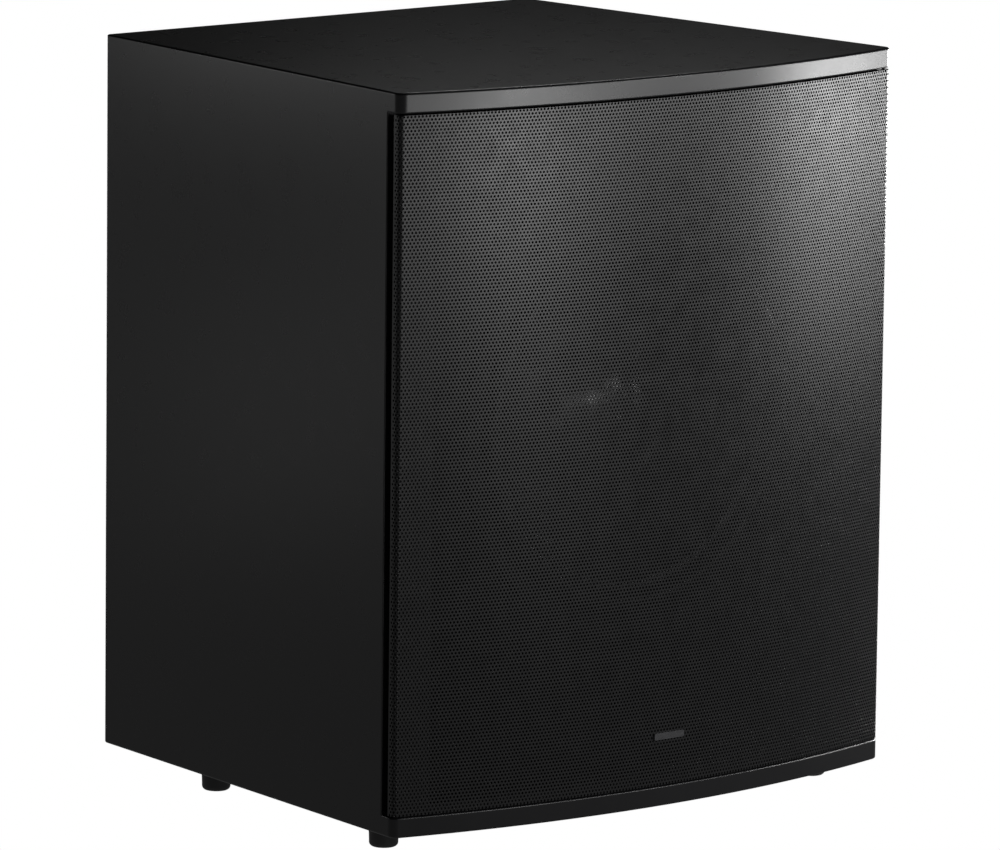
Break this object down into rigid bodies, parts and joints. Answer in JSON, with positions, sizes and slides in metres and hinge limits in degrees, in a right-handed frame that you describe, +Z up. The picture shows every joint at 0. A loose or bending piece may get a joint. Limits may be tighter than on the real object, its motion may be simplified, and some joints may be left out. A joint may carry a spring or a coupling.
{
  "type": "subwoofer",
  "caption": "Powered subwoofer: a tapered black cabinet on rubber feet, a bowed perforated steel grille over a large round driver, and a plate amplifier in the back.",
  "frame": {"origin": "under the middle of the whole object's box, on the surface the feet stand on", "axes": "+Z up; the grille faces -Y, the amplifier +Y"},
  "size_m": [0.5628, 0.5262, 0.67],
  "materials": {
    "cabinet_paint": "painted board, satin, finely textured",
    "board": "raw board",
    "felt": "felted",
    "rubber": "satin",
    "zinc_screw": "zinc plated",
    "black_screw": "black oxide",
    "grille_steel": "satin powder coat",
    "grille_inner": "matte",
    "badge": "satin",
    "basket": "satin",
    "surround": "semi-gloss",
    "cone_paper": "coated",
    "cap": "gloss",
    "former": "satin",
    "copper": "enamelled wire",
    "spider_cloth": "resin cloth",
    "steel": "machined",
    "ferrite": "dull",
    "plate": "fine texture",
    "heat_sink": "black anodised",
    "can": "zinc plated",
    "board_green": "printed board",
    "plastic": "matte",
    "gloss": "gloss",
    "gold": "plated",
    "blade": "nickel plated",
    "lamp": "clear",
    "fuse_glass": "clear",
    "foam": "closed-cell foam",
    "lead": "sleeve",
    "braid": "braided copper",
    "toroid": "wound tape"
  },
  "bodies": {
    "cabinet": {"top_panel": "cabinet_paint", "bottom_panel": "cabinet_paint", "left_side_panel": "cabinet_paint", "right_side_panel": "cabinet_paint", "rear_panel": "cabinet_paint", "front_baffle": "cabinet_paint", "window_brace": "board", "corner_battens": "board", "damping_lining": "felt", "rubber_feet": "rubber", "foot_screws": "zinc_screw", "grille_sockets": "plastic", "driver_basket": "basket", "front_gasket": "rubber", "driver_screws": "black_screw", "top_plate": "steel", "ring_magnet": "ferrite", "pole_and_back_plate": "steel", "magnet_boot": "rubber", "terminal_block": "plastic", "speaker_leads": "lead", "amplifier_plate": "plate", "foam_seals": "foam", "plate_screws": "black_screw", "amplifier_can": "can", "heat_sink": "heat_sink", "circuit_board": "board_green", "filter_capacitors": "gloss", "power_transformer": "toroid", "potentiometers": "can", "slide_switch_bodies": "plastic", "balanced_shell": "plastic", "balanced_insert": "plastic", "phono_inputs": "gold", "mains_inlet": "gloss", "inlet_blades": "blade", "rocker_bezel": "gloss"},
    "grille": {"perforated_grille": "grille_steel", "grille_top_rib": "grille_inner", "grille_bottom_rib": "grille_inner", "grille_side_posts": "grille_inner", "grille_studs": "grille_inner", "badge": "badge"},
    "cone": {"cone": "cone_paper", "dust_cap": "cap", "coil_former": "former", "coil_winding": "copper", "surround": "surround", "spider": "spider_cloth", "tinsel_leads": "braid"},
    "level_control": {"level_knob": "plastic", "level_shaft": "steel"},
    "crossover_control": {"crossover_knob": "plastic", "crossover_shaft": "steel"},
    "phase_slider": {"phase_slider": "gloss"},
    "mode_slider": {"mode_slider": "gloss"},
    "release_tab": {"release_tab": "can"},
    "fuse_drawer": {"fuse_drawer": "gloss", "fuse": "fuse_glass"},
    "power_rocker": {"power_rocker": "gloss"}
  },
  "joints": [
    {"name": "grille_pull", "type": "slide", "parent": "cabinet", "child": "grille", "axis": [0, -1, 0], "range_m": [0, 0.08]},
    {"name": "cone_excursion", "type": "slide", "parent": "cabinet", "child": "cone", "axis": [0, 1, 0], "range_m": [-0.008, 0.008], "stiffness_N_per_m": 3700, "deforming": ["surround", "spider", "tinsel_leads"]},
    {"name": "level_turn", "type": "hinge", "parent": "cabinet", "child": "level_control", "pos_m": [0.08, 0.255, 0.325], "axis": [0, 1, 0], "range_deg": [-150, 150]},
    {"name": "crossover_turn", "type": "hinge", "parent": "cabinet", "child": "crossover_control", "pos_m": [0.03, 0.255, 0.325], "axis": [0, 1, 0], "range_deg": [-150, 150]},
    {"name": "phase_slide", "type": "slide", "parent": "cabinet", "child": "phase_slider", "axis": [-1, 0, 0], "range_m": [0, 0.007]},
    {"name": "mode_slide", "type": "slide", "parent": "cabinet", "child": "mode_slider", "axis": [-1, 0, 0], "range_m": [0, 0.007]},
    {"name": "release_push", "type": "slide", "parent": "cabinet", "child": "release_tab", "axis": [0, -1, 0], "range_m": [0, 0.0015], "stiffness_N_per_m": 300},
    {"name": "fuse_drawer_pull", "type": "slide", "parent": "cabinet", "child": "fuse_drawer", "axis": [0, 1, 0], "range_m": [0, 0.022]},
    {"name": "power_rock", "type": "hinge", "parent": "cabinet", "child": "power_rocker", "pos_m": [-0.062, 0.243, 0.202], "axis": [1, 0, 0], "range_deg": [0, 24]}
  ]
}
